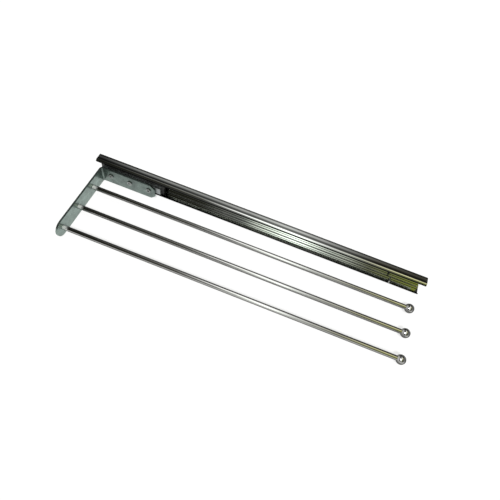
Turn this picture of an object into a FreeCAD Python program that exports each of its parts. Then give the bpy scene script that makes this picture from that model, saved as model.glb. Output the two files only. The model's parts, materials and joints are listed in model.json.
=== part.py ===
"""Pull-out trouser rack: a side-mounted C-track, a ball carriage, an angle bracket and three ball-tipped rods.

Frame, in millimetres: X = 0 is the cabinet side that the track is screwed to, and the rack lies on the -X side
of it. The rack pulls out towards -Y. +Z is up. The origin is the middle of the row of mounting holes.
"""
import FreeCAD, Part
import os
import re
import Sketcher

# Driving dimensions

SIZES = {
    # Track: one strip roll-formed into a C, open towards the rods
    "track_length": 450,
    "track_height": 28,
    "track_depth": 12.5,
    "track_sheet": 1,
    "lip_height": 3.6,
    "web_bend_radius": 2,
    "lip_edge_radius": 0.4,
    # Row of holes for the screws into the cabinet side
    "mount_hole_setback": 33,
    "mount_hole_diameter": 4.5,
    # Stop plates pressed into notches of the lower lip
    "stop_thickness": 1.6,
    "stop_height": 6.3,
    "stop_reach": 6,
    "stop_fit": 0.05,
    "rear_setback": 3,
    "front_setback": 39,
    "stop_gap": 0.4,
    # Carriage: block inside the track with a neck that stands out between the lips
    "carriage_overhang": 6.5,
    "carriage_back": 3,
    "carriage_clearance": 0.6,
    "neck_top": 4.5,
    "neck_bottom": 5.8,
    "neck_reach": 14.5,
    # Balls in two rows, which run in the track's beads and sit in a rail on each side of the carriage
    "ball_diameter": 3.5,
    "balls_per_row": 6,
    "ball_margin": 10.75,
    "ball_proud": 0.9,
    "race_clearance": 0.3,
    "seat_clearance": 0.05,
    "rail_height": 6.4,
    "tongue_width": 1.6,
    "tongue_depth": 1.5,
    "tongue_fit": 0.05,
    # Rubber buffers on both ends of the carriage
    "buffer_thickness": 2.5,
    "buffer_width": 5,
    "buffer_height": 21,
    "buffer_inset": 1.2,
    "spigot_diameter": 2.2,
    "spigot_length": 5,
    "spigot_clearance": 0.05,
    # Bracket: one flat strip bent to an angle
    "strip_thickness": 2.5,
    "strip_height": 24,
    "strip_drop": 4.5,
    "strip_bend_radius": 2,
    "short_leg_chamfer": 6,
    "short_leg_length": 75,
    # Screws from the bracket into the carriage
    "fixing_count": 3,
    "fixing_setback": 12,
    "fixing_margin": 9,
    "fixing_drop": 2.5,
    "fixing_diameter": 3.5,
    "fixing_depth": 6,
    "fixing_head_diameter": 7,
    "fixing_head_height": 1.6,
    "fixing_head_edge": 0.6,
    "thread_clearance": 0.05,
    "hole_clearance": 0.15,
    # Rods, their ball tips and the screws and washers behind the bracket
    "rod_count": 3,
    "rod_pitch": 34.5,
    "rod_offset": 24.5,
    "rod_diameter": 6,
    "rod_reach": 430,
    "tip_diameter": 12,
    "tip_seat": 2,
    "tip_fit": 0.05,
    "rod_screw_diameter": 4,
    "rod_screw_depth": 10,
    "rod_screw_head_diameter": 7.5,
    "rod_screw_head_height": 2.4,
    "rod_screw_head_edge": 0.8,
    "washer_diameter": 9,
    "washer_thickness": 0.8,
}

doc = FreeCAD.newDocument("TrouserRack")
sheet = doc.addObject("Spreadsheet::Sheet", "Sizes")
for row, (alias, number) in enumerate(SIZES.items(), start=1):
    sheet.set("A%d" % row, alias)
    sheet.set("B%d" % row, str(number))
    sheet.setAlias("B%d" % row, alias)
doc.recompute()


def link(formula):
    """Writes each size named in a formula as a reference to its cell."""
    return re.sub(r"[a-z_]+", lambda word: "Sizes." + word[0] if word[0] in SIZES else word[0], formula)


def size(formula):
    """The present value of a formula of sizes."""
    return float(sheet.evalExpression(link("1.0 * (%s)" % formula)))


# Places worked out from the driving dimensions, as formulas in the frame of the whole rack

TRACK_REAR = "track_length / 2"
REAR_STOP = f"({TRACK_REAR} - rear_setback)"
CARRIAGE_REAR = f"({REAR_STOP} - stop_thickness - stop_gap - buffer_thickness)"
CARRIAGE_LENGTH = "(strip_thickness + short_leg_length + carriage_overhang)"
CARRIAGE_FRONT = f"({CARRIAGE_REAR} - {CARRIAGE_LENGTH})"
FRONT_STOP = f"(front_setback + stop_thickness - {TRACK_REAR})"
MOUNT_PITCH = "(track_length - 2 * mount_hole_setback)"

BEAD_BORE = "(ball_diameter / 2 + race_clearance)"
BEAD_RADIUS = f"({BEAD_BORE} + track_sheet)"
BALL_OUT = f"(track_depth - {BEAD_RADIUS})"
BALL_UP = f"(track_height / 2 - {BEAD_RADIUS})"
LIP_EDGE = "(track_height / 2 - lip_height)"

RAIL_TOP = "(track_height / 2 - track_sheet - carriage_clearance)"
RAIL_BASE = f"({RAIL_TOP} - rail_height)"
CARRIAGE_FACE = "(track_depth - track_sheet - carriage_clearance)"
TONGUE_MIDDLE = f"((carriage_back + {CARRIAGE_FACE}) / 2)"
BUFFER_MIDDLE = "(carriage_back + buffer_inset + buffer_width / 2)"
BALL_PITCH = f"(({CARRIAGE_LENGTH} - 2 * ball_margin) / (balls_per_row - 1))"

LEG_BACK = "neck_reach"
LEG_FACE = "(neck_reach + strip_thickness)"
FIXING_PITCH = "((short_leg_length - fixing_setback - fixing_margin) / (fixing_count - 1))"
ROOT = f"({CARRIAGE_REAR} - strip_thickness)"
FIRST_ROD = f"({LEG_FACE} + rod_offset)"
LAST_ROD = f"({FIRST_ROD} + (rod_count - 1) * rod_pitch)"


# Modelling helpers

def place(feature, across="0", along="0", up="0"):
    """Binds where an object stands to the sizes."""
    for axis, formula in zip("xyz", (across, along, up)):
        feature.setExpression("Placement.Base." + axis, link(formula))


def new_body(label, across="0", along="0", up="0"):
    """An empty body at its place in the rack."""
    body = doc.addObject("PartDesign::Body", label)
    body.Label = label
    place(body, across, along, up)
    return body


def datum(body, role):
    """One of the body's own origin planes or axes."""
    return next(item for item in body.Origin.OriginFeatures if item.Role == role)


def new_sketch(body, plane, offset="0"):
    """A sketch on an origin plane of its body, moved along the plane's normal."""
    sketch = body.newObject("Sketcher::SketchObject", body.Name + "_sketch")
    sketch.AttachmentSupport = [(datum(body, plane), "")]
    sketch.MapMode = "FlatFace"
    sketch.setExpression("AttachmentOffset.Base.z", link(offset))
    return sketch


def pin_point(sketch, shape_index, point_index, spot):
    """Ties a point of a sketch to two formulas, measured from the sketch's origin."""
    for kind, axis, formula in zip(("DistanceX", "DistanceY"), (-2, -1), spot):
        if formula == "0":
            sketch.addConstraint(Sketcher.Constraint("PointOnObject", shape_index, point_index, axis))
        else:
            constraint = Sketcher.Constraint(kind, -1, 1, shape_index, point_index, size(formula))
            number = sketch.addConstraint(constraint)
            sketch.setExpression("Constraints[%d]" % number, link(formula))


def outline(body, plane, spots, offset="0"):
    """A closed sketch with a straight side between each two neighbouring spots."""
    sketch = new_sketch(body, plane, offset)
    corners = [FreeCAD.Vector(size(across), size(up), 0) for across, up in spots]
    for start, end in zip(corners, corners[1:] + corners[:1]):
        sketch.addGeometry(Part.LineSegment(start, end))
    for index, spot in enumerate(spots):
        following = (index + 1) % len(spots)
        sketch.addConstraint(Sketcher.Constraint("Coincident", index, 2, following, 1))
        pin_point(sketch, index, 1, spot)
    return sketch


def circle(body, plane, centre, diameter, offset="0"):
    """A sketch of one circle."""
    sketch = new_sketch(body, plane, offset)
    middle = FreeCAD.Vector(size(centre[0]), size(centre[1]), 0)
    sketch.addGeometry(Part.Circle(middle, FreeCAD.Vector(0, 0, 1), size(diameter) / 2))
    pin_point(sketch, 0, 3, centre)
    number = sketch.addConstraint(Sketcher.Constraint("Diameter", 0, size(diameter)))
    sketch.setExpression("Constraints[%d]" % number, link(diameter))
    return sketch


def extrude(body, kind, sketch, length, backwards=False):
    """A Pad or Pocket of a sketch. A Pocket has to take material away."""
    before = body.Shape.Volume if kind == "Pocket" else 0
    feature = body.newObject("PartDesign::" + kind, body.Name + "_" + kind.lower())
    feature.Profile = sketch
    feature.setExpression("Length", link(length))
    feature.Reversed = backwards
    doc.recompute()
    if kind == "Pocket" and body.Shape.Volume >= before:
        raise ValueError("a pocket of %s cuts nothing" % body.Label)
    return feature


def revolve(body, sketch, axis):
    """A full revolution of a sketch about an origin axis of its body."""
    feature = body.newObject("PartDesign::Revolution", body.Name + "_revolution")
    feature.Profile = sketch
    feature.ReferenceAxis = (datum(body, axis), [""])
    feature.Angle = 360
    doc.recompute()
    return feature


def repeat(body, feature, axis, pitch, count):
    """A row of copies of a feature, towards the low end of an origin axis."""
    pattern = body.newObject("PartDesign::LinearPattern", body.Name + "_row")
    pattern.Originals = [feature]
    pattern.Direction = (datum(body, axis), [""])
    pattern.Reversed = True
    pattern.setExpression("Length", link(f"({count} - 1) * {pitch}"))
    pattern.setExpression("Occurrences", link(count))
    body.Tip = pattern
    doc.recompute()
    return pattern


def sphere(body, kind, diameter, across="0", along="0", up="0"):
    """An AdditiveSphere or SubtractiveSphere in a body."""
    ball = body.newObject("PartDesign::" + kind, body.Name + "_sphere")
    ball.setExpression("Radius", link(f"({diameter}) / 2"))
    place(ball, across, along, up)
    doc.recompute()
    return ball


def soften(body, kind, direction, spots, amount):
    """A Fillet or Chamfer on the straight edges along a direction that pass through the spots."""
    axis = "XYZ".index(direction)
    others = [index for index in range(3) if index != axis]
    targets = [tuple(size(formula) for formula in spot) for spot in spots]
    base = body.Tip
    names = []
    for number, edge in enumerate(base.Shape.Edges, start=1):
        start, end = edge.Vertexes[0].Point, edge.Vertexes[-1].Point
        flat = [start[index] for index in others]
        runs_along = edge.Length > 1e-6 and all(abs(start[index] - end[index]) < 1e-6 for index in others)
        if runs_along and any(abs(flat[0] - spot[0]) + abs(flat[1] - spot[1]) < 1e-4 for spot in targets):
            names.append("Edge%d" % number)
    if len(names) < len(targets):
        raise ValueError("an edge of %s to soften was not found" % body.Label)
    feature = body.newObject("PartDesign::" + kind, body.Name + "_" + kind.lower())
    feature.Base = (base, names)
    feature.setExpression("Radius" if kind == "Fillet" else "Size", link(amount))
    doc.recompute()
    return feature


# Track

def make_track():
    """The C-section, with its bends, mounting holes and the notches for the stop plates."""
    track = new_body("track", along=TRACK_REAR)
    half = "track_height / 2"
    upper = [
        ("0", half),
        ("-track_depth", half),
        ("-track_depth", LIP_EDGE),
        ("track_sheet - track_depth", LIP_EDGE),
        ("track_sheet - track_depth", f"{half} - track_sheet"),
        ("-track_sheet", f"{half} - track_sheet"),
    ]
    lower = [(across, f"-({up})") for across, up in reversed(upper)]
    extrude(track, "Pad", outline(track, "XZ_Plane", upper + lower), "track_length")
    bends = (
        (upper[1], BEAD_RADIUS),
        (upper[4], BEAD_BORE),
        (upper[0], "web_bend_radius"),
        (upper[5], "web_bend_radius - track_sheet"),
        (upper[2], "lip_edge_radius"),
        (upper[3], "lip_edge_radius"),
    )
    for (across, up), radius in bends:
        soften(track, "Fillet", "Y", [(across, up), (across, f"-({up})")], radius)
    hole = circle(track, "YZ_Plane", ("-mount_hole_setback", "0"), "mount_hole_diameter")
    cut = extrude(track, "Pocket", hole, "2 * track_sheet")
    repeat(track, cut, "Y_Axis", MOUNT_PITCH, "2")
    notch_floor = f"-{BALL_UP}"
    notch = [
        ("-track_depth", notch_floor),
        ("-track_depth", f"-{LIP_EDGE}"),
        ("track_sheet - track_depth", f"-{LIP_EDGE}"),
        ("track_sheet - track_depth", notch_floor),
    ]
    for face in (REAR_STOP, FRONT_STOP):
        inset = f"{TRACK_REAR} - {face} - stop_fit"
        sketch = outline(track, "XZ_Plane", notch, inset)
        extrude(track, "Pocket", sketch, "stop_thickness + 2 * stop_fit", backwards=True)
    return track


def make_stop(label, face):
    """A plate that stands on the lower flange, fills the bead's corner and closes its notch in the lip."""
    stop = new_body(label, along=face)
    floor = "track_sheet - track_height / 2"
    spots = [
        ("stop_reach - track_depth", floor),
        (f"-{BALL_OUT}", floor),
        ("track_sheet - track_depth", f"-{BALL_UP}"),
        ("-track_depth", f"-{BALL_UP}"),
        ("-track_depth", f"{floor} + stop_height"),
        ("stop_reach - track_depth", f"{floor} + stop_height"),
    ]
    extrude(stop, "Pad", outline(stop, "XZ_Plane", spots), "stop_thickness")
    return stop


# Carriage and what rolls with it

def make_carriage():
    """The block with its neck, grooved on both sides for the ball rails, and its holes."""
    carriage = new_body("carriage", along=CARRIAGE_REAR)
    groove_half = "(tongue_width / 2 + tongue_fit)"
    groove_floor = f"{RAIL_BASE} - tongue_depth - tongue_fit"
    body_half = [
        ("-carriage_back", RAIL_BASE),
        (f"{groove_half} - {TONGUE_MIDDLE}", RAIL_BASE),
        (f"{groove_half} - {TONGUE_MIDDLE}", groove_floor),
        (f"-{groove_half} - {TONGUE_MIDDLE}", groove_floor),
        (f"-{groove_half} - {TONGUE_MIDDLE}", RAIL_BASE),
        (f"-{CARRIAGE_FACE}", RAIL_BASE),
    ]
    neck = [
        (f"-{CARRIAGE_FACE}", "neck_top"),
        ("-neck_reach", "neck_top"),
        ("-neck_reach", "-neck_bottom"),
        (f"-{CARRIAGE_FACE}", "-neck_bottom"),
    ]
    lower_half = [(across, f"-({up})") for across, up in reversed(body_half)]
    extrude(carriage, "Pad", outline(carriage, "XZ_Plane", body_half + neck + lower_half), CARRIAGE_LENGTH)
    first_hole = "-strip_thickness - fixing_setback"
    hole = circle(carriage, "YZ_Plane", (first_hole, "-fixing_drop"),
                  "fixing_diameter + 2 * thread_clearance", "-neck_reach")
    cut = extrude(carriage, "Pocket", hole, "fixing_depth + thread_clearance", backwards=True)
    repeat(carriage, cut, "Y_Axis", FIXING_PITCH, "fixing_count")
    bore = "spigot_diameter + 2 * spigot_clearance"
    depth = "spigot_length + spigot_clearance"
    rear = circle(carriage, "XZ_Plane", (f"-{BUFFER_MIDDLE}", "0"), bore)
    extrude(carriage, "Pocket", rear, depth, backwards=True)
    front = circle(carriage, "XZ_Plane", (f"-{BUFFER_MIDDLE}", "0"), bore, CARRIAGE_LENGTH)
    extrude(carriage, "Pocket", front, depth)
    return carriage


def make_buffer(label, face, to_the_front):
    """A pad on an end of the carriage, with the spigot that is pushed into it."""
    buffer = new_body(label, along=face)
    inner = f"buffer_width / 2 - {BUFFER_MIDDLE}"
    outer = f"-buffer_width / 2 - {BUFFER_MIDDLE}"
    spots = [
        (inner, "buffer_height / 2"),
        (outer, "buffer_height / 2"),
        (outer, "-buffer_height / 2"),
        (inner, "-buffer_height / 2"),
    ]
    extrude(buffer, "Pad", outline(buffer, "XZ_Plane", spots), "buffer_thickness", not to_the_front)
    stem = circle(buffer, "XZ_Plane", (f"-{BUFFER_MIDDLE}", "0"), "spigot_diameter")
    extrude(buffer, "Pad", stem, "spigot_length", to_the_front)
    return buffer


def make_ball_rail(label, side):
    """A rail with a tongue in the carriage's groove, bevelled towards the bead, and a row of ball seats."""
    rail = new_body(label, along=CARRIAGE_REAR)
    bevel = f"({BALL_OUT} + {BALL_UP} + (ball_diameter / 2 - ball_proud) * sqrt(2))"
    tongue_end = f"{RAIL_BASE} - tongue_depth"
    section = [
        ("-carriage_back", RAIL_BASE),
        ("-carriage_back", RAIL_TOP),
        (f"{RAIL_TOP} - {bevel}", RAIL_TOP),
        (f"-{CARRIAGE_FACE}", f"{bevel} - {CARRIAGE_FACE}"),
        (f"-{CARRIAGE_FACE}", RAIL_BASE),
        (f"-tongue_width / 2 - {TONGUE_MIDDLE}", RAIL_BASE),
        (f"-tongue_width / 2 - {TONGUE_MIDDLE}", tongue_end),
        (f"tongue_width / 2 - {TONGUE_MIDDLE}", tongue_end),
        (f"tongue_width / 2 - {TONGUE_MIDDLE}", RAIL_BASE),
    ]
    spots = [(across, f"{side}({up})") for across, up in section]
    extrude(rail, "Pad", outline(rail, "XZ_Plane", spots), CARRIAGE_LENGTH)
    seat = sphere(rail, "SubtractiveSphere", "ball_diameter + 2 * seat_clearance",
                  f"-{BALL_OUT}", "-ball_margin", side + BALL_UP)
    repeat(rail, seat, "Y_Axis", BALL_PITCH, "balls_per_row")
    return rail


def make_balls(label, side):
    """One row of separate balls."""
    balls = new_body(label, f"-{BALL_OUT}", f"{CARRIAGE_REAR} - ball_margin", side + BALL_UP)
    ball = sphere(balls, "AdditiveSphere", "ball_diameter")
    repeat(balls, ball, "Y_Axis", BALL_PITCH, "balls_per_row")
    return balls


# Bracket and its screws

def make_bracket():
    """The bent strip: a short leg on the carriage and a long leg, round at its end, that carries the rods."""
    bracket = new_body("bracket", along=CARRIAGE_REAR, up="-strip_drop - strip_height / 2")
    end = "-(strip_thickness + short_leg_length)"
    spots = [
        (f"-{LEG_BACK}", "0"),
        (f"-{LEG_BACK}", end),
        (f"-{LEG_FACE}", end),
        (f"-{LEG_FACE}", "-strip_thickness"),
        (f"-{LAST_ROD}", "-strip_thickness"),
        (f"-{LAST_ROD}", "0"),
    ]
    extrude(bracket, "Pad", outline(bracket, "XY_Plane", spots), "strip_height")
    disc = circle(bracket, "XZ_Plane", (f"-{LAST_ROD}", "strip_height / 2"), "strip_height")
    extrude(bracket, "Pad", disc, "strip_thickness")
    soften(bracket, "Fillet", "Z", [spots[3]], "strip_bend_radius")
    soften(bracket, "Fillet", "Z", [spots[0]], "strip_bend_radius + strip_thickness")
    soften(bracket, "Chamfer", "X", [(end, "0"), (end, "strip_height")], "short_leg_chamfer")
    first_hole = "-strip_thickness - fixing_setback"
    hole_height = "strip_height / 2 + strip_drop - fixing_drop"
    hole = circle(bracket, "YZ_Plane", (first_hole, hole_height),
                  "fixing_diameter + 2 * hole_clearance", f"-{LEG_FACE}")
    cut = extrude(bracket, "Pocket", hole, "strip_thickness", backwards=True)
    repeat(bracket, cut, "Y_Axis", FIXING_PITCH, "fixing_count")
    hole = circle(bracket, "XZ_Plane", (f"-{FIRST_ROD}", "strip_height / 2"),
                  "rod_screw_diameter + 2 * hole_clearance")
    cut = extrude(bracket, "Pocket", hole, "strip_thickness", backwards=True)
    repeat(bracket, cut, "X_Axis", "rod_pitch", "rod_count")
    return bracket


def screw_outline(head_radius, head_height, head_edge, shank_radius, shank_length):
    """Half of a screw's section: along its axis from the tip (negative) to the head (positive), then out."""
    return [
        (f"-({shank_length})", "0"),
        (f"-({shank_length})", shank_radius),
        ("0", shank_radius),
        ("0", head_radius),
        (f"{head_height} - {head_edge}", head_radius),
        (head_height, f"{head_radius} - {head_edge}"),
        (head_height, "0"),
    ]


def make_carriage_screws():
    """Screws through the short leg into the carriage's neck, with their heads on the rod side."""
    along = f"{CARRIAGE_REAR} - strip_thickness - fixing_setback"
    screws = new_body("carriage_screws", f"-{LEG_FACE}", along, "-fixing_drop")
    half = screw_outline("fixing_head_diameter / 2", "fixing_head_height", "fixing_head_edge",
                         "fixing_diameter / 2", "strip_thickness + fixing_depth")
    spots = [(f"-({across})", up) for across, up in half]
    screw = revolve(screws, outline(screws, "XZ_Plane", spots), "X_Axis")
    repeat(screws, screw, "Y_Axis", FIXING_PITCH, "fixing_count")
    return screws


def make_rod_screws():
    """Screws through the long leg into the rods, with their heads behind the bracket."""
    along = f"{CARRIAGE_REAR} + washer_thickness"
    screws = new_body("rod_screws", f"-{FIRST_ROD}", along, "-strip_drop")
    half = screw_outline("rod_screw_head_diameter / 2", "rod_screw_head_height", "rod_screw_head_edge",
                         "rod_screw_diameter / 2", "washer_thickness + strip_thickness + rod_screw_depth")
    spots = [(up, across) for across, up in half]
    screw = revolve(screws, outline(screws, "XY_Plane", spots), "Y_Axis")
    repeat(screws, screw, "X_Axis", "rod_pitch", "rod_count")
    return screws


def make_rod_washers():
    """Washers between the screw heads and the bracket."""
    washers = new_body("rod_washers", f"-{FIRST_ROD}", CARRIAGE_REAR, "-strip_drop")
    bore, rim = "rod_screw_diameter / 2 + hole_clearance", "washer_diameter / 2"
    spots = [(bore, "0"), (rim, "0"), (rim, "washer_thickness"), (bore, "washer_thickness")]
    washer = revolve(washers, outline(washers, "XY_Plane", spots), "Y_Axis")
    repeat(washers, washer, "X_Axis", "rod_pitch", "rod_count")
    return washers


# Rods

def make_rod(number):
    """A straight rod, tapped at its root, whose front end sits in its ball tip."""
    across = f"-({FIRST_ROD} + {number - 1} * rod_pitch)"
    rod = new_body("rod_%d" % number, across, ROOT, "-strip_drop")
    extrude(rod, "Pad", circle(rod, "XZ_Plane", ("0", "0"), "rod_diameter"), "rod_reach + tip_seat")
    tapped = circle(rod, "XZ_Plane", ("0", "0"), "rod_screw_diameter + 2 * thread_clearance")
    extrude(rod, "Pocket", tapped, "rod_screw_depth + thread_clearance", backwards=True)
    return rod


def make_ball_tip(number):
    """A ball pressed on the front end of a rod."""
    across = f"-({FIRST_ROD} + {number - 1} * rod_pitch)"
    tip = new_body("ball_tip_%d" % number, across, f"{ROOT} - rod_reach", "-strip_drop")
    sphere(tip, "AdditiveSphere", "tip_diameter")
    bore = circle(tip, "XZ_Plane", ("0", "0"), "rod_diameter + 2 * tip_fit", "-tip_diameter")
    extrude(tip, "Pocket", bore, "tip_diameter + tip_seat", backwards=True)
    return tip


# Assembly

pieces = [
    make_track(),
    make_stop("stop_front", FRONT_STOP),
    make_stop("stop_rear", REAR_STOP),
    make_carriage(),
    make_buffer("buffer_front", CARRIAGE_FRONT, True),
    make_buffer("buffer_rear", CARRIAGE_REAR, False),
    make_ball_rail("ball_rail_upper", "+"),
    make_ball_rail("ball_rail_lower", "-"),
    make_balls("balls_upper", "+"),
    make_balls("balls_lower", "-"),
    make_bracket(),
    make_carriage_screws(),
    make_rod_screws(),
    make_rod_washers(),
]
for number in range(1, SIZES["rod_count"] + 1):
    pieces += [make_rod(number), make_ball_tip(number)]
doc.recompute()

# Check everything, then write one file for each piece

for item in doc.Objects:
    if {"Invalid", "Error"} & set(item.State):
        raise ValueError("%s failed: %s" % (item.Label, item.State))
for piece in pieces:
    if piece.Shape.isNull() or not piece.Shape.isValid() or not piece.Shape.Solids:
        raise ValueError("%s has no sound solid" % piece.Label)

os.makedirs("parts", exist_ok=True)
for piece in pieces:
    piece.Shape.exportStep("parts/%s.step" % piece.Label)
    box = piece.Shape.BoundBox
    print("%-16s solids %d  x %.2f..%.2f  y %.2f..%.2f  z %.2f..%.2f" % (
        piece.Label, len(piece.Shape.Solids), box.XMin, box.XMax, box.YMin, box.YMax, box.ZMin, box.ZMax))
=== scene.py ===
import json
import math

import bmesh
import bpy
from mathutils import Matrix, Vector


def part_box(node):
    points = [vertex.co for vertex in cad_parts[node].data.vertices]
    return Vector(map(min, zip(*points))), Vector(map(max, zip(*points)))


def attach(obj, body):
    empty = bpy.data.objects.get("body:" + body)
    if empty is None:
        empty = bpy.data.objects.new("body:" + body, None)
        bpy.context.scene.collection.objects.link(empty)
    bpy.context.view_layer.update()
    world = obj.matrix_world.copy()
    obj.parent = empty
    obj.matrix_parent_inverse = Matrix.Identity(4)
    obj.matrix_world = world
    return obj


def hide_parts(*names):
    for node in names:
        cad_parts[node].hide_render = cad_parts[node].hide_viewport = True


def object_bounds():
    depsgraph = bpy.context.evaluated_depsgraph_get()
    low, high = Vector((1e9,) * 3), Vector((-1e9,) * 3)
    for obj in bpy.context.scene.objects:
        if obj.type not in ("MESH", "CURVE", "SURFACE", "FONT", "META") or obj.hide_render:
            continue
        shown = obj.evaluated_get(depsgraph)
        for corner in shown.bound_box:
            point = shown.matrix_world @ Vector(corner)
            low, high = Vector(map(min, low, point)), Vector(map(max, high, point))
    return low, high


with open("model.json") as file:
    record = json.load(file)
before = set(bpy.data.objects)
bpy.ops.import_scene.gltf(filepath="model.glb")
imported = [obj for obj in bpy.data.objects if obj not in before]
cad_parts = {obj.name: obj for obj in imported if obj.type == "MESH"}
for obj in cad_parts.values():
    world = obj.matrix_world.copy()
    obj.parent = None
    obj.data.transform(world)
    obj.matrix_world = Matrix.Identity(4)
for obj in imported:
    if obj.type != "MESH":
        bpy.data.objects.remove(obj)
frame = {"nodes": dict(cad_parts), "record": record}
cad_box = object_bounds()
nodes = frame["nodes"]
scene = bpy.context.scene
MM = 0.001

# Noise of the finishes: its scale and detail, and the part of its range that is used
TONE_SCALE = 40
TONE_DETAIL = 4
TONE_RANGE = (0.35, 0.65)
GRAIN_DETAIL = 3
GRAIN_RANGE = (0.3, 0.7)
GRAIN_DEPTH = 0.02 * MM

# Polishing lines along Y on all chrome
POLISH_SCALE = 1400
POLISH_STRETCH = (1, 0.02, 1)

# Chrome of the track
TRACK_TONES = ((0.60, 0.62, 0.59), (0.68, 0.69, 0.66))
TRACK_ROUGHNESS = (0.03, 0.07)
TRACK_EDGE_TINT = (0.4, 0.4, 0.4, 1)
FLANGE_ZONE = 1.5 * MM
FLANGE_HOLLOW = 5
LINE_SCALE = 260
LINE_DETAIL = 0
LINE_STRETCH = (1, 0.003, 1)
LINE_RANGE = (0.36, 0.44)
LINE_DEPTH = 0.02 * MM
# Painted shade: along the rolling lines, on the outer faces of the lips and on the bend at the back of the
# upper flange
LINE_SHADE = 0.35
LIP_ZONE = (0.4 * MM, 1.0 * MM)
LIP_SHADE = 0.02
BEND_ZONE = 1.2 * MM
BEND_SHADE = 0.3
INWARD_LIMIT = 0.2
LOW_ZONE = (-5 * MM, -1 * MM)

# Painted reflections and painted shade as light and dark bands along the track: millimetres from its mouth,
# and a share of the colour
FLANGE_PAINTED_BANDS = (
    (0, 1), (2.6, 1), (3.6, 0.32), (5.6, 0.30), (6.8, 1.2), (8.6, 1.45), (9.8, 0.6),
    (10.6, 0.35), (12.5, 0.35))
INSIDE_PAINTED_BANDS = (
    (0, 0.15), (3.6, 0.15), (4.4, 1.35), (7.4, 1.35), (7.6, 0.12), (8.6, 0.12), (8.8, 1.35),
    (10.2, 1.35), (10.4, 0.2), (11.2, 0.2), (11.4, 1.35), (12.5, 1.35))

# Chrome of the rods and ball tips
ROD_TONES = ((0.48, 0.48, 0.46), (0.55, 0.55, 0.53))
ROD_ROUGHNESS = (0.05, 0.10)
ROD_EDGE_TINT = (0.25, 0.25, 0.25, 1)
ROD_GRAIN = 0.015
# Painted highlight at the root of each rod: paler and less metallic over this length
ROOT_LENGTH = 8 * MM
ROOT_HIGHLIGHT_TONE = (0.92, 0.96, 0.94, 1)
ROOT_HIGHLIGHT_METAL = 0.65
# Painted shade on rods and ball tips where the surface faces down, to the rear and to the front
LOWER_NORMALS = (0.25, 0.60)
LOWER_SHADE = 0.3
REAR_NORMALS = (0.15, 0.45)
REAR_SHADE = 0.45
FRONT_NORMALS = (-0.60, -0.30)
FRONT_SHADE = 0.22

# Zinc plate of the strip, with painted shade near the track
STRIP_TONES = ((0.112, 0.138, 0.128), (0.264, 0.338, 0.304))
STRIP_TONE_SCALE = 120
STRIP_TONE_RANGE = (0.0, 0.75)
STRIP_ROUGHNESS = (0.20, 0.34)
STRIP_GRAIN_SCALE = 500
STRIP_GRAIN = 0.12
LEG_SHADE_ZONE = (14 * MM, 3 * MM)
LEG_SHADE_SHARE = 0.30


# Node helpers

def feed(tree, value, socket):
    """Links a socket to another one, or sets it to a plain value."""
    if isinstance(value, bpy.types.NodeSocket):
        tree.links.new(value, socket)
    else:
        socket.default_value = value


def number(tree, operation, first, second):
    """A Math node, whose inputs are sockets or plain numbers."""
    node = tree.nodes.new("ShaderNodeMath")
    node.operation = operation
    feed(tree, first, node.inputs[0])
    feed(tree, second, node.inputs[1])
    return node.outputs["Value"]


def scaled(tree, value, start, end, low, high, smooth=False):
    """Turns a value between start and end into a number between low and high."""
    node = tree.nodes.new("ShaderNodeMapRange")
    if smooth:
        node.interpolation_type = "SMOOTHSTEP"
    node.inputs["From Min"].default_value = start
    node.inputs["From Max"].default_value = end
    node.inputs["To Min"].default_value = low
    node.inputs["To Max"].default_value = high
    tree.links.new(value, node.inputs["Value"])
    return node.outputs["Result"]


def mixed(tree, share, first, second, way="MIX"):
    """A mix of two colours, each a socket or a plain colour."""
    node = tree.nodes.new("ShaderNodeMix")
    node.data_type = "RGBA"
    node.blend_type = way
    feed(tree, share, node.inputs["Factor"])
    feed(tree, first, node.inputs["A"])
    feed(tree, second, node.inputs["B"])
    return node.outputs["Result"]


def split(tree, vector):
    """The X, Y and Z of a vector."""
    node = tree.nodes.new("ShaderNodeSeparateXYZ")
    tree.links.new(vector, node.inputs["Vector"])
    return node.outputs["X"], node.outputs["Y"], node.outputs["Z"]


def own_place(tree):
    """The X, Y and Z of a point in its piece's own coordinates."""
    return split(tree, tree.nodes.new("ShaderNodeTexCoord").outputs["Object"])


def own_normal(tree):
    """The X, Y and Z of the way that the surface faces."""
    return split(tree, tree.nodes.new("ShaderNodeNewGeometry").outputs["Normal"])


def noise(tree, scale, detail, stretch=(1, 1, 1)):
    """Noise in the piece's own coordinates, stretched along chosen axes."""
    place = tree.nodes.new("ShaderNodeTexCoord")
    mapping = tree.nodes.new("ShaderNodeMapping")
    mapping.inputs["Scale"].default_value = stretch
    texture = tree.nodes.new("ShaderNodeTexNoise")
    texture.inputs["Scale"].default_value = scale
    texture.inputs["Detail"].default_value = detail
    tree.links.new(place.outputs["Object"], mapping.inputs["Vector"])
    tree.links.new(mapping.outputs["Vector"], texture.inputs["Vector"])
    return texture.outputs["Fac"]


def grey(value):
    """A grey of the given value."""
    return (value, value, value)


def ramp(tree, value, stops):
    """Turns a value into a colour, from pairs of position and colour."""
    node = tree.nodes.new("ShaderNodeValToRGB")
    points = node.color_ramp.elements
    while len(points) < len(stops):
        points.new(0.5)
    for point, (position, colour) in zip(points, stops):
        point.position = position
        point.color = (*colour, 1)
    tree.links.new(value, node.inputs["Fac"])
    return node.outputs["Color"]


def bands(tree, value, start, stops):
    """A grey share by place, from pairs of distance in millimetres after start and share."""
    last = stops[-1][0]
    share = scaled(tree, value, start, start + last * MM, 0, 1)
    return ramp(tree, share, [(distance / last, grey(tone)) for distance, tone in stops])


# Material helpers

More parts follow.
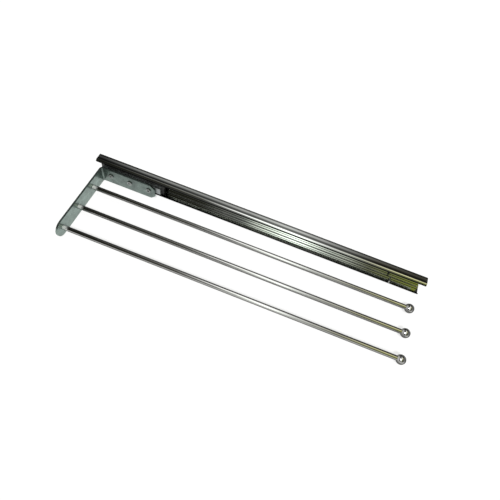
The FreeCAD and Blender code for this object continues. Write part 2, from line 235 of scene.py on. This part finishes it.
def new_material(name, metallic):
    """A material with a Principled shader."""
    material = bpy.data.materials.new(name)
    material.use_nodes = True
    tree = material.node_tree
    tree.nodes.clear()
    output = tree.nodes.new("ShaderNodeOutputMaterial")
    shader = tree.nodes.new("ShaderNodeBsdfPrincipled")
    shader.inputs["Metallic"].default_value = metallic
    tree.links.new(shader.outputs["BSDF"], output.inputs["Surface"])
    return material, tree, shader


def coloured(tree, shader, value, used, tones):
    """Colours the surface between two tones, by the used part of a value."""
    tree.links.new(ramp(tree, value, tuple(zip(used, tones))), shader.inputs["Base Color"])


def roughened(tree, shader, grain, rough):
    """Makes the gloss uneven by a grain."""
    tree.links.new(scaled(tree, grain, *GRAIN_RANGE, *rough), shader.inputs["Roughness"])


def bump(tree, shader, value, strength, depth):
    """Raises the surface by a value, with the depth in metres."""
    node = tree.nodes.new("ShaderNodeBump")
    node.inputs["Strength"].default_value = strength
    node.inputs["Distance"].default_value = depth
    tree.links.new(value, node.inputs["Height"])
    tree.links.new(node.outputs["Normal"], shader.inputs["Normal"])


def recoloured(tree, shader, share, colour, way):
    """Mixes another colour into the base colour."""
    base = shader.inputs["Base Color"]
    tree.links.new(mixed(tree, share, base.links[0].from_socket, colour, way), base)


def shaded(tree, shader, share):
    """Multiplies the base colour by a share."""
    recoloured(tree, shader, 1, share, "MULTIPLY")


def surface(name, metallic, tones, rough, grain, strength=0.1, depth=GRAIN_DEPTH):
    """A material with mottled colour, uneven gloss and a fine grain."""
    material, tree, shader = new_material(name, metallic)
    coloured(tree, shader, noise(tree, TONE_SCALE, TONE_DETAIL), TONE_RANGE, tones)
    fine = noise(tree, grain, GRAIN_DETAIL)
    roughened(tree, shader, fine, rough)
    bump(tree, shader, fine, strength, depth)
    return material


def chrome(name, tones, rough, edge_tint):
    """Bright chrome with polishing lines along Y."""
    material, tree, shader = new_material(name, 1)
    shader.inputs["Specular Tint"].default_value = edge_tint
    coloured(tree, shader, noise(tree, TONE_SCALE, TONE_DETAIL), TONE_RANGE, tones)
    polish = noise(tree, POLISH_SCALE, GRAIN_DETAIL, POLISH_STRETCH)
    roughened(tree, shader, polish, rough)
    return material, tree, shader, polish


def track_chrome():
    """Chrome with rolling lines, a slight hollow across the upper flange, painted shade along the lines, on
    the lips and on the bend at the back, and painted reflection and shade bands.
    """
    material, tree, shader, _ = chrome("bright_chrome_track", TRACK_TONES, TRACK_ROUGHNESS, TRACK_EDGE_TINT)
    low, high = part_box("track")
    x, _, z = own_place(tree)
    normal_x, _, normal_z = own_normal(tree)
    on_flange = number(tree, "GREATER_THAN", z, high.z - FLANGE_ZONE)
    inward = number(tree, "GREATER_THAN", number(tree, "SUBTRACT", normal_z, normal_x), INWARD_LIMIT)
    inside = number(tree, "MULTIPLY", inward, scaled(tree, z, *LOW_ZONE, 1, 0))
    outside = number(tree, "SUBTRACT", 1, inside)

    # Relief in metres, from the rolling lines and the hollow
    lines = noise(tree, LINE_SCALE, LINE_DETAIL, LINE_STRETCH)
    raised = number(tree, "MULTIPLY", number(tree, "MULTIPLY", lines, LINE_DEPTH), outside)
    offset = number(tree, "SUBTRACT", x, (low.x + high.x) / 2)
    hollow = number(tree, "MULTIPLY", number(tree, "MULTIPLY", offset, offset), FLANGE_HOLLOW)
    bump(tree, shader, number(tree, "ADD", number(tree, "MULTIPLY", hollow, on_flange), raised), 1, 1)

    # Painted shade along the rolling lines, on the outer faces of the lips and on the bend at the back,
    # then painted reflection and shade bands
    line_painted_shade = number(tree, "MAXIMUM", scaled(tree, lines, *LINE_RANGE, LINE_SHADE, 1), inside)
    lip_painted_shade = scaled(tree, x, low.x + LIP_ZONE[0], low.x + LIP_ZONE[1], LIP_SHADE, 1)
    at_back = number(tree, "GREATER_THAN", x, high.x - BEND_ZONE)
    bend = number(tree, "MULTIPLY", at_back, on_flange)
    # edge is the painted shade on the bend at the back
    edge = number(tree, "SUBTRACT", 1, number(tree, "MULTIPLY", bend, 1 - BEND_SHADE))
    shaded(tree, shader, number(tree, "MULTIPLY", number(tree, "MULTIPLY", line_painted_shade, lip_painted_shade), edge))
    # Painted reflections and painted shade in bands across the upper flange and inside the track
    for stops, zone in ((FLANGE_PAINTED_BANDS, on_flange), (INSIDE_PAINTED_BANDS, inside)):
        share = bands(tree, x, low.x, stops)
        keep = number(tree, "SUBTRACT", 1, zone)
        shaded(tree, shader, number(tree, "ADD", keep, number(tree, "MULTIPLY", share, zone)))
    return material


def rod_chrome():
    """Bright chrome with painted shade below, behind and ahead, and a painted highlight at the root of each
    rod, paler and less metallic.
    """
    material, tree, shader, polish = chrome("bright_chrome_rod", ROD_TONES, ROD_ROUGHNESS, ROD_EDGE_TINT)
    bump(tree, shader, polish, ROD_GRAIN, GRAIN_DEPTH)
    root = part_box("rod_1")[1].y
    _, y, _ = own_place(tree)
    # Painted highlight: the root of each rod is paler and less metallic
    root_highlight = scaled(tree, y, root - ROOT_LENGTH, root - ROOT_LENGTH / 2, 0, 1)
    recoloured(tree, shader, root_highlight, ROOT_HIGHLIGHT_TONE, "MIX")
    metallic = number(tree, "SUBTRACT", 1, number(tree, "MULTIPLY", root_highlight, 1 - ROOT_HIGHLIGHT_METAL))
    tree.links.new(metallic, shader.inputs["Metallic"])
    # Painted shade where the surface faces down, to the rear and to the front
    normal_x, normal_y, normal_z = own_normal(tree)
    below = scaled(tree, normal_z, *LOWER_NORMALS, LOWER_SHADE, 1)
    behind = scaled(tree, normal_x, *REAR_NORMALS, 1, REAR_SHADE)
    ahead = scaled(tree, normal_y, *FRONT_NORMALS, FRONT_SHADE, 1)
    shaded(tree, shader, number(tree, "MINIMUM", number(tree, "MINIMUM", below, behind), ahead))
    return material


def strip_zinc():
    """Mottled zinc plate, with painted shade on the short leg beside the track."""
    material, tree, shader = new_material("zinc_plated_strip", 1)
    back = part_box("bracket")[1].x
    x, _, _ = own_place(tree)
    # Painted shade on the short leg beside the track, taken off the mottle
    leg_painted_shade = scaled(tree, x, back - LEG_SHADE_ZONE[0], back - LEG_SHADE_ZONE[1], 0, LEG_SHADE_SHARE)
    mottle = number(tree, "SUBTRACT", noise(tree, STRIP_TONE_SCALE, TONE_DETAIL), leg_painted_shade)
    coloured(tree, shader, mottle, STRIP_TONE_RANGE, STRIP_TONES)
    fine = noise(tree, STRIP_GRAIN_SCALE, GRAIN_DETAIL)
    roughened(tree, shader, fine, STRIP_ROUGHNESS)
    bump(tree, shader, fine, STRIP_GRAIN, GRAIN_DEPTH)
    return material


# One finish for each material slot of the record

finishes = {
    "chrome_track": track_chrome(),
    "chrome_rod": rod_chrome(),
    "zinc_plate": strip_zinc(),
    "screw_steel": surface(
        "zinc_plated_screws", metallic=1, tones=((0.24, 0.26, 0.25), (0.32, 0.34, 0.33)),
        rough=(0.28, 0.42), grain=900),
    "cast_zinc": surface(
        "die_cast_zinc", metallic=1, tones=((0.29, 0.31, 0.31), (0.38, 0.40, 0.40)),
        rough=(0.35, 0.50), grain=1200, strength=0.25, depth=0.04 * MM),
    "stop_steel": surface(
        "stop_plate_steel", metallic=1, tones=((0.26, 0.27, 0.25), (0.34, 0.35, 0.33)),
        rough=(0.20, 0.32), grain=900),
    "ball_steel": surface(
        "bearing_steel", metallic=1, tones=((0.58, 0.58, 0.57), (0.66, 0.66, 0.65)),
        rough=(0.06, 0.12), grain=900),
    "nylon": surface(
        "black_nylon", metallic=0, tones=((0.012, 0.012, 0.012), (0.03, 0.03, 0.03)),
        rough=(0.40, 0.55), grain=1500, strength=0.3, depth=0.04 * MM),
    "buffer_rubber": surface(
        "black_rubber", metallic=0, tones=((0.015, 0.015, 0.015), (0.035, 0.035, 0.033)),
        rough=(0.60, 0.80), grain=1800, strength=0.4, depth=0.06 * MM),
}
for subpart in frame["record"]["subparts"]:
    mesh = nodes[subpart["node"]].data
    mesh.materials.clear()
    mesh.materials.append(finishes[subpart["material_slot"]])


# Screws with a cross recess, in the place of the plain ones, in millimetres and degrees

SCREWS = 3
LATHE_STEPS = 40
DOME_SHARE = 0.25
DOME_DROP = 0.02
RIM_DROP = 0.15
EDGE_STEPS = (0.25, 0.5, 0.75, 1)
POINT_LENGTH = 0.8
RECESS_SPAN = 0.58
RECESS_WIDTH = 0.15
RECESS_DEPTH = 0.85
SPAN_TAPER = 0.45
WIDTH_TAPER = 0.8
CUTTER_TOP = 0.5
FIRST_TURN = 25
NEXT_TURN = 50
SHARP_ANGLE = 32


def lathe(profile):
    """A closed mesh turned about Z from points of radius and height, with both ends on the axis."""
    points = [(0, 0, profile[0][1])]
    faces = []
    for radius, height in profile[1:-1]:
        for step in range(LATHE_STEPS):
            angle = 2 * math.pi * step / LATHE_STEPS
            points.append((radius * math.cos(angle), radius * math.sin(angle), height))
    points.append((0, 0, profile[-1][1]))
    rings = len(profile) - 2
    last = 1 + (rings - 1) * LATHE_STEPS
    for step in range(LATHE_STEPS):
        after = (step + 1) % LATHE_STEPS
        faces.append((0, 1 + step, 1 + after))
        for ring in range(rings - 1):
            here = 1 + ring * LATHE_STEPS
            below = here + LATHE_STEPS
            faces.append((here + step, below + step, below + after, here + after))
        faces.append((last + step, len(points) - 1, last + after))
    mesh = bpy.data.meshes.new("lathe")
    mesh.from_pydata(points, [], faces)
    return mesh


def cross_cutter(span, width, depth):
    """Two crossed bars that narrow downwards, for the recess of a screw head."""
    build = bmesh.new()
    for turn in (0, math.pi / 2):
        bar = bmesh.ops.create_cube(build, size=1)["verts"]
        for vertex in bar:
            on_top = vertex.co.z > 0
            vertex.co.x *= span * (1 if on_top else SPAN_TAPER)
            vertex.co.y *= width * (1 if on_top else WIDTH_TAPER)
            vertex.co.z = CUTTER_TOP if on_top else -depth
        bmesh.ops.rotate(build, verts=bar, matrix=Matrix.Rotation(turn, 3, "Z"))
    mesh = bpy.data.meshes.new("cutter")
    build.to_mesh(mesh)
    build.free()
    return mesh


def recessed_screw(head, height, edge, shank, length):
    """One screw along Z, with the top of its head at 0."""
    rim = head / 2 - edge
    profile = [(0, 0), (head * DOME_SHARE, -DOME_DROP), (rim, -RIM_DROP)]
    for share in EDGE_STEPS:
        angle = share * math.pi / 2
        profile.append((rim + edge * math.sin(angle), -RIM_DROP - edge * (1 - math.cos(angle))))
    profile += [(head / 2, -height), (shank / 2, -height)]
    profile += [(shank / 2, POINT_LENGTH - length), (shank / 4, -length), (0, -length)]
    cross = cross_cutter(head * RECESS_SPAN, head * RECESS_WIDTH, height * RECESS_DEPTH)
    body = bpy.data.objects.new("screw_blank", lathe(profile))
    cutter = bpy.data.objects.new("screw_cutter", cross)
    for item in (body, cutter):
        scene.collection.objects.link(item)
    cut = body.modifiers.new("recess", "BOOLEAN")
    cut.operation = "DIFFERENCE"
    cut.solver = "EXACT"
    cut.use_self = True
    cut.object = cutter
    bpy.context.view_layer.update()
    finished = bpy.data.meshes.new_from_object(body.evaluated_get(bpy.context.evaluated_depsgraph_get()))
    for item in (body, cutter):
        bpy.data.objects.remove(item)
    return finished


def screw_set(name, node, screw, out, heads):
    """Copies of a screw with their heads at the given points, which replace a CAD node."""
    aim = Vector((0, 0, 1)).rotation_difference(Vector(out)).to_matrix().to_4x4()
    build = bmesh.new()
    for count, point in enumerate(heads):
        one = screw.copy()
        spin = Matrix.Rotation(math.radians(FIRST_TURN + NEXT_TURN * count), 4, "Z")
        one.transform(Matrix.Translation(point) @ aim @ Matrix.Scale(MM, 4) @ spin)
        build.from_mesh(one)
    mesh = bpy.data.meshes.new(name)
    build.to_mesh(mesh)
    build.free()
    mesh.materials.append(finishes["screw_steel"])
    mesh.shade_smooth()
    mesh.set_sharp_from_angle(angle=math.radians(SHARP_ANGLE))
    piece = bpy.data.objects.new(name, mesh)
    scene.collection.objects.link(piece)
    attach(piece, "sliding_rack")
    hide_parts(node)


low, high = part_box("carriage_screws")
radius = (high.z - low.z) / 2
pitch = (high.y - low.y - 2 * radius) / (SCREWS - 1)
level = (low.z + high.z) / 2
heads = [Vector((low.x, low.y + radius + step * pitch, level)) for step in range(SCREWS)]
long_screw = recessed_screw(
    head=2 * radius / MM, height=1.6, edge=0.6, shank=3.5, length=(high.x - low.x) / MM)
screw_set("recessed_carriage_screws", "carriage_screws", long_screw, (-1, 0, 0), heads)

low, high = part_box("rod_screws")
radius = (high.z - low.z) / 2
pitch = (high.x - low.x - 2 * radius) / (SCREWS - 1)
level = (low.z + high.z) / 2
heads = [Vector((low.x + radius + step * pitch, high.y, level)) for step in range(SCREWS)]
rod_screw = recessed_screw(
    head=2 * radius / MM, height=2.4, edge=0.8, shank=4, length=(high.y - low.y) / MM)
screw_set("recessed_rod_screws", "rod_screws", rod_screw, (0, 1, 0), heads)


# Broken edges on the strip, the carriage and the stops

BROKEN_EDGES = {"bracket": 0.35 * MM, "carriage": 0.3 * MM, "stop_front": 0.15 * MM, "stop_rear": 0.15 * MM}
WELD_DISTANCE = 0.01 * MM
FLAT_ANGLE = 0.5
BROKEN_ANGLE = 40

for name, width in BROKEN_EDGES.items():
    weld = nodes[name].modifiers.new("weld", "WELD")
    weld.merge_threshold = WELD_DISTANCE
    flat = nodes[name].modifiers.new("flat_faces", "DECIMATE")
    flat.decimate_type = "DISSOLVE"
    flat.angle_limit = math.radians(FLAT_ANGLE)
    bevel = nodes[name].modifiers.new("edges", "BEVEL")
    bevel.width = width
    bevel.segments = 2
    bevel.limit_method = "ANGLE"
    bevel.angle_limit = math.radians(BROKEN_ANGLE)
    nodes[name].modifiers.new("normals", "WEIGHTED_NORMAL")


# Floor, which keeps the object's shadow and looks nearly white

FLOOR_HALF = 3.0
FLOOR_GAP = 0.2 * MM
FLOOR_TONE = (0.95, 0.95, 0.95, 1)
FLOOR_GLOW = 0.7

floor_level = cad_box[0].z - FLOOR_GAP
quarters = ((-1, -1), (1, -1), (1, 1), (-1, 1))
corners = [(FLOOR_HALF * x, FLOOR_HALF * y, floor_level) for x, y in quarters]
floor_mesh = bpy.data.meshes.new("floor")
floor_mesh.from_pydata(corners, [], [(0, 1, 2, 3)])
floor = bpy.data.objects.new("floor", floor_mesh)
scene.collection.objects.link(floor)
paint = bpy.data.materials.new("floor_white")
paint.use_nodes = True
tree = paint.node_tree
tree.nodes.clear()
output = tree.nodes.new("ShaderNodeOutputMaterial")
matt = tree.nodes.new("ShaderNodeBsdfDiffuse")
matt.inputs["Color"].default_value = FLOOR_TONE
white = tree.nodes.new("ShaderNodeEmission")
path = tree.nodes.new("ShaderNodeLightPath").outputs
mirrored = number(tree, "MAXIMUM", path["Is Glossy Ray"], path["Is Transmission Ray"])
seen = number(tree, "MAXIMUM", path["Is Camera Ray"], mirrored)
mix = tree.nodes.new("ShaderNodeMixShader")
tree.links.new(number(tree, "MULTIPLY", seen, FLOOR_GLOW), mix.inputs["Fac"])
tree.links.new(matt.outputs["BSDF"], mix.inputs[1])
tree.links.new(white.outputs["Emission"], mix.inputs[2])
tree.links.new(mix.outputs["Shader"], output.inputs["Surface"])
floor_mesh.materials.append(paint)


# Light of the room. Each side has pairs of direction along Y and light, from front to rear.

FRONT_END = [(-1.0, grey(0.45)), (-0.75, grey(0.22)), (-0.58, grey(0.10))]
REAR_END = [(0.50, grey(0.10)), (0.62, grey(0.40)), (0.80, grey(0.7)), (1.0, grey(0.9))]
OVERHEAD = [
    (-0.45, (0.36, 0.34, 0.20)), (-0.30, (1.15, 1.10, 0.66)), (-0.20, (0.80, 0.78, 0.60)),
    (-0.10, grey(1.2)), (0.0, grey(2.3)), (0.08, grey(2.1)), (0.20, (0.21, 0.205, 0.18)),
    (0.30, (0.065, 0.063, 0.048)), (0.42, (0.016, 0.016, 0.011))]
FAR_UPPER = [
    (-0.45, grey(0.10)), (-0.30, (0.05, 0.047, 0.035)), (-0.14, grey(0.22)), (-0.03, grey(0.50)),
    (0.25, grey(0.48)), (0.34, grey(0.30)), (0.42, grey(0.05))]
FAR_SIDE = [
    (-0.45, grey(0.05)), (-0.22, (0.06, 0.053, 0.04)), (-0.10, grey(0.38)), (0.0, grey(0.74)),
    (0.08, grey(0.42)), (0.20, grey(0.22)), (0.30, grey(0.05)), (0.42, grey(0.012))]
FAR_LOW = [(-0.45, grey(0.06)), (0.0, grey(0.10)), (0.42, grey(0.03))]
CAMERA_SIDE = [
    (-0.45, (0.10, 0.10, 0.06)), (-0.32, (0.26, 0.29, 0.05)), (-0.20, (0.17, 0.17, 0.12)),
    (-0.10, (0.8, 0.84, 0.8)), (-0.03, (2.6, 2.75, 2.65)), (0.04, (1.2, 1.28, 1.2)),
    (0.10, grey(0.27)), (0.20, (0.042, 0.041, 0.033)), (0.42, (0.013, 0.013, 0.009))]
LOW_FRONT = [
    (-0.45, (0.14, 0.14, 0.11)), (-0.30, (0.26, 0.26, 0.20)), (-0.10, grey(0.60)), (0.0, grey(0.90)),
    (0.10, grey(0.45)), (0.30, grey(0.14)), (0.42, grey(0.09))]

# The sides after the overhead one, with the two directions along X between which each takes over
SIDES = (
    (FAR_UPPER, 0.30, 0.42), (FAR_SIDE, 0.50, 0.60), (FAR_LOW, 0.70, 0.80),
    (CAMERA_SIDE, -0.10, -0.40), (LOW_FRONT, -0.72, -0.86))
WALL_TOP = (0.10, 0.20)

world = bpy.data.worlds.new("studio")
scene.world = world
world.use_nodes = True
sky = world.node_tree
sky.nodes.clear()
across, along, upward = split(sky, sky.nodes.new("ShaderNodeTexCoord").outputs["Generated"])
along = scaled(sky, along, -1, 1, 0, 1)


def side_light(stops):
    """The light of one side of the room, from its front end to its rear end."""
    return ramp(sky, along, [((place + 1) / 2, light) for place, light in FRONT_END + stops + REAR_END])


light = side_light(OVERHEAD)
for stops, start, end in SIDES:
    share = scaled(sky, across, start, end, 0, 1, smooth=True)
    light = mixed(sky, share, light, side_light(stops))

# The camera sees white all round, and metal sees it up to the height of a low white wall
sky_output = sky.nodes.new("ShaderNodeOutputWorld")
path = sky.nodes.new("ShaderNodeLightPath").outputs
mirrored = number(sky, "MAXIMUM", path["Is Glossy Ray"], path["Is Transmission Ray"])
wall = number(sky, "MULTIPLY", mirrored, scaled(sky, upward, *WALL_TOP, 1, 0))
seen = number(sky, "MAXIMUM", path["Is Camera Ray"], wall)
room = sky.nodes.new("ShaderNodeBackground")
sky.links.new(light, room.inputs["Color"])
backdrop = sky.nodes.new("ShaderNodeBackground")
backdrop.inputs["Color"].default_value = (1, 1, 1, 1)
blend = sky.nodes.new("ShaderNodeMixShader")
sky.links.new(seen, blend.inputs["Fac"])
sky.links.new(room.outputs["Background"], blend.inputs[1])
sky.links.new(backdrop.outputs["Background"], blend.inputs[2])
sky.links.new(blend.outputs["Shader"], sky_output.inputs["Surface"])


# Soft key lamp, for the floor's shadow and the dull surfaces

KEY_ENERGY = 3.0
KEY_SPREAD = 12
KEY_FROM = (-0.52, -0.06, 0.85)

key = bpy.data.lights.new("key", "SUN")
key.energy = KEY_ENERGY
key.angle = math.radians(KEY_SPREAD)
key_holder = bpy.data.objects.new("key", key)
key_holder.rotation_euler = Vector(KEY_FROM).to_track_quat("Z", "Y").to_euler()
key_holder.visible_glossy = False
scene.collection.objects.link(key_holder)


# Camera, as fitted to the photograph

SENSOR = 36
FOCAL_PIXELS = 430
FRAME_PIXELS = 500
NEAREST = 0.01
CAMERA_PLACE = (-330.0, -36.8, 456.7)
CAMERA_RIGHT = (0.33479, -0.93157, 0.14176)
CAMERA_UP = (0.78299, 0.35872, 0.50819)
CAMERA_BACK = (-0.52426, -0.05914, 0.84950)

camera_data = bpy.data.cameras.new("camera")
camera = bpy.data.objects.new("camera", camera_data)
scene.collection.objects.link(camera)
scene.camera = camera
camera_data.sensor_width = SENSOR
camera_data.lens = SENSOR * FOCAL_PIXELS / FRAME_PIXELS
camera_data.clip_start = NEAREST
turn = Matrix((CAMERA_RIGHT, CAMERA_UP, CAMERA_BACK)).transposed().to_4x4()
camera.matrix_world = Matrix.Translation(Vector(CAMERA_PLACE) * MM) @ turn


# Small lamp at the camera's place, for the white spot on each ball tip

FLASH_SIZE = 0.20
FLASH_ENERGY = 1.8
BALL_TIPS = ("ball_tip_1", "ball_tip_2", "ball_tip_3")

flash = bpy.data.lights.new("flash", "AREA")
flash.shape = "DISK"
flash.size = FLASH_SIZE
flash.energy = FLASH_ENERGY
flash_holder = bpy.data.objects.new("flash", flash)
flash_holder.matrix_world = camera.matrix_world
flash_holder.visible_camera = False
flash_holder.visible_diffuse = False
scene.collection.objects.link(flash_holder)
lit_tips = bpy.data.collections.new("lit_tips")
for name in BALL_TIPS:
    lit_tips.objects.link(nodes[name])
flash_holder.light_linking.receiver_collection = lit_tips

scene.view_settings.view_transform = "Standard"
